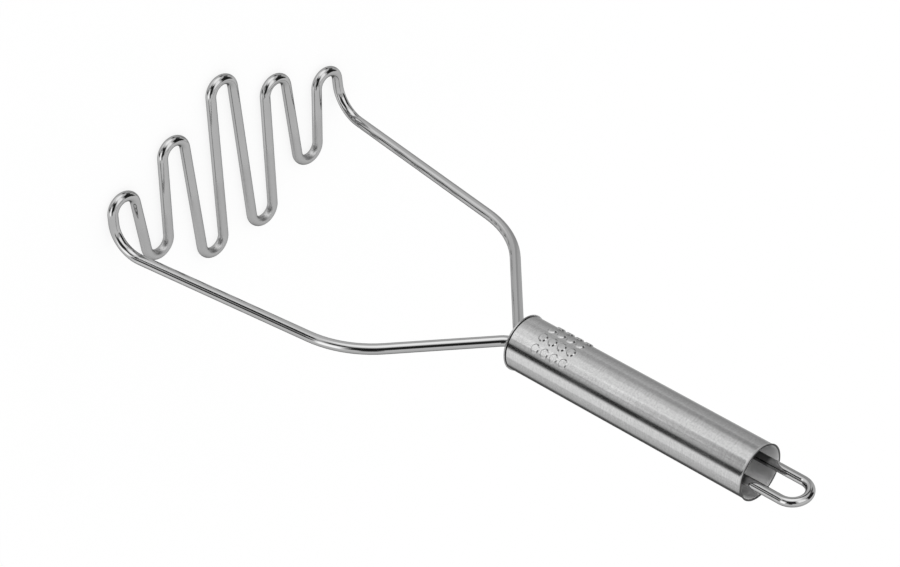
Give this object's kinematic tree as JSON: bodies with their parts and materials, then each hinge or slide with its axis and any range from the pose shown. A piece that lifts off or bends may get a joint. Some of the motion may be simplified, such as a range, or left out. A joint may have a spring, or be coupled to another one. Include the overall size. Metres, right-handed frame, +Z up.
{
  "type": "potato masher",
  "caption": "Wire potato masher: a flat zigzag head bent from one round wire, two arms that close to a neck, and a round tube handle with a hanging loop.",
  "frame": {"origin": "on the handle's axis, in the plane under the head's wire", "axes": "+Z up the handle, from the head to the hanging loop; X across the loops of the head; +Y along their legs, towards the longest loop"},
  "size_m": [0.1194, 0.0755, 0.2774],
  "materials": {
    "polished_wire": "mirror polished stainless steel",
    "brushed_tube": "satin stainless steel, finely brushed",
    "pressed_cap": "plain pressed stainless sheet",
    "weld_metal": "dull weld metal, darkened by heat"
  },
  "bodies": {
    "root": {"masher_wire": "polished_wire", "handle_tube": "brushed_tube", "neck_cap": "pressed_cap", "neck_weld": "weld_metal", "cap_seam": "weld_metal", "hanging_loop": "polished_wire", "loop_welds": "weld_metal"}
  },
  "joints": []
}
